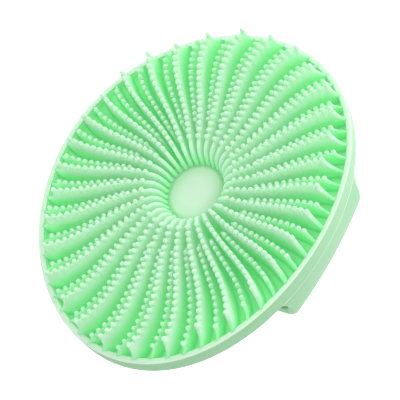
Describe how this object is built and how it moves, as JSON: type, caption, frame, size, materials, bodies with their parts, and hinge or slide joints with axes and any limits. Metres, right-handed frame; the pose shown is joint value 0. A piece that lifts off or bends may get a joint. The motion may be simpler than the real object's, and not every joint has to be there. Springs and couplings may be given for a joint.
{
  "type": "scalp massager brush",
  "caption": "Oval silicone massage pad with long and short curved radial fins round a smooth centre disc, a raised rim, and a wide elastic hand strap arched over its back.",
  "frame": {"origin": "on the flat underside of the strap's crown, which the brush stands on, below the middle of the pad", "axes": "+X along the pad's long axis and the way the hand slides under the strap, +Y along the strap's arch, +Z out of the finned face"},
  "size_m": [0.1234, 0.1006, 0.0466],
  "materials": {
    "pad_silicone": "satin mint green silicone",
    "floor_silicone": "satin mint green silicone, deeper between the fins",
    "strap_silicone": "satin mint green silicone"
  },
  "bodies": {
    "pad": {"rim": "pad_silicone", "fin_floor": "floor_silicone", "centre_disc": "pad_silicone", "long_fin_01": "pad_silicone", "long_fin_02": "pad_silicone", "long_fin_03": "pad_silicone", "long_fin_04": "pad_silicone", "long_fin_05": "pad_silicone", "long_fin_06": "pad_silicone", "long_fin_07": "pad_silicone", "long_fin_08": "pad_silicone", "long_fin_09": "pad_silicone", "long_fin_10": "pad_silicone", "long_fin_11": "pad_silicone", "long_fin_12": "pad_silicone", "long_fin_13": "pad_silicone", "long_fin_14": "pad_silicone", "long_fin_15": "pad_silicone", "long_fin_16": "pad_silicone", "long_fin_17": "pad_silicone", "long_fin_18": "pad_silicone", "long_fin_19": "pad_silicone", "long_fin_20": "pad_silicone", "long_fin_21": "pad_silicone", "long_fin_22": "pad_silicone", "long_fin_23": "pad_silicone", "long_fin_24": "pad_silicone", "long_fin_25": "pad_silicone", "long_fin_26": "pad_silicone", "long_fin_27": "pad_silicone", "long_fin_28": "pad_silicone", "long_fin_29": "pad_silicone", "long_fin_30": "pad_silicone", "long_fin_31": "pad_silicone", "long_fin_32": "pad_silicone", "strap_leg_front": "strap_silicone", "strap_leg_back": "strap_silicone"},
    "strap_crown": {"strap_crown": "strap_silicone"}
  },
  "joints": [
    {"name": "strap_flex", "type": "slide", "parent": "pad", "child": "strap_crown", "axis": [0, 0, 1], "range_m": [0, 0.01], "stiffness_N_per_m": 600, "springref_m": -0.004, "deforming": ["strap_leg_front", "strap_leg_back"]}
  ]
}
